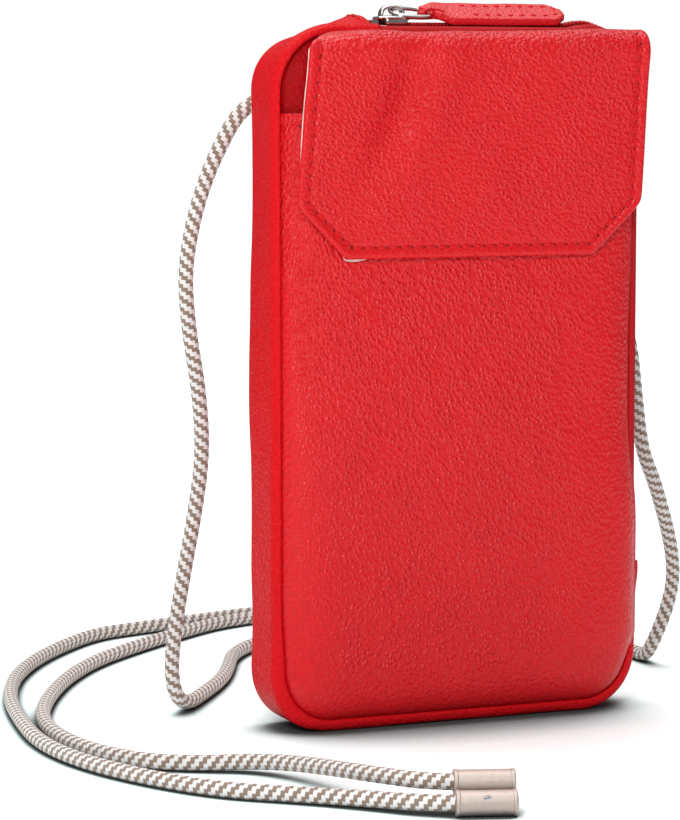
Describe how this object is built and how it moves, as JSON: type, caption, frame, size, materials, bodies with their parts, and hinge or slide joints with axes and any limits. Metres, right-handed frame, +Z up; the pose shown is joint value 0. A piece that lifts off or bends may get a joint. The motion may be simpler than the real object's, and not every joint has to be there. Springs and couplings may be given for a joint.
{
  "type": "phone pouch",
  "caption": "Slim crossbody phone pouch: leather body with a slip pocket under a magnetic flap, an L-shaped zip compartment behind, and a braided cord held in a twin metal clamp.",
  "frame": {"origin": "middle of the pouch's flat base, on the surface it stands on", "axes": "+X along the front to the viewer's right, -Y out of the front, +Z up"},
  "size_m": [0.2064, 0.2739, 0.1898],
  "materials": {
    "leather_red": "pebbled, satin",
    "lining_fabric": "plain woven lining",
    "flap_lining": "pale backing",
    "zip_tape": "woven tape",
    "zip_teeth": "moulded coil",
    "zip_metal": "polished nickel",
    "magnet_steel": "plated",
    "cord_braid": "two-colour braid",
    "clamp_metal": "satin rose gold",
    "screw_metal": "satin"
  },
  "bodies": {
    "pouch": {"side_gusset": "leather_red", "zip_tape_front": "zip_tape", "zip_tape_back": "zip_tape", "zip_teeth_front": "zip_teeth", "zip_teeth_back": "zip_teeth", "zip_stops": "zip_metal", "zip_end_tab": "leather_red", "front_panel": "leather_red", "front_lining": "lining_fabric", "divider_panel": "leather_red", "back_panel": "leather_red", "back_lining": "lining_fabric", "pocket_magnet": "magnet_steel", "strap_loop_left": "leather_red", "strap_loop_right": "leather_red", "cord_left": "cord_braid", "cord_right": "cord_braid", "cord_back": "cord_braid", "cord_clamp": "clamp_metal", "clamp_screws": "screw_metal"},
    "flap": {"flap_outer": "leather_red", "flap_lining": "flap_lining", "flap_magnet": "magnet_steel"},
    "slider": {"slider_body": "zip_metal"},
    "ring": {"pull_ring": "zip_metal"},
    "tab": {"pull_tab": "leather_red"}
  },
  "joints": [
    {"name": "flap_hinge", "type": "hinge", "parent": "pouch", "child": "flap", "pos_m": [0, -0.0104, 0.1814], "axis": [-1, 0, 0], "range_deg": [0, 110]},
    {"name": "slider_travel", "type": "slide", "parent": "pouch", "child": "slider", "axis": [1, 0, 0], "range_m": [0, 0.046], "deforming": ["zip_teeth_front", "zip_teeth_back"]},
    {"name": "ring_pivot", "type": "hinge", "parent": "slider", "child": "ring", "pos_m": [-0.0162, 0, 0.1872], "axis": [0, -1, 0], "range_deg": [0, 110]},
    {"name": "tab_pivot", "type": "hinge", "parent": "ring", "child": "tab", "pos_m": [-0.0058, 0, 0.1872], "axis": [0, -1, 0], "range_deg": [0, 70]}
  ]
}
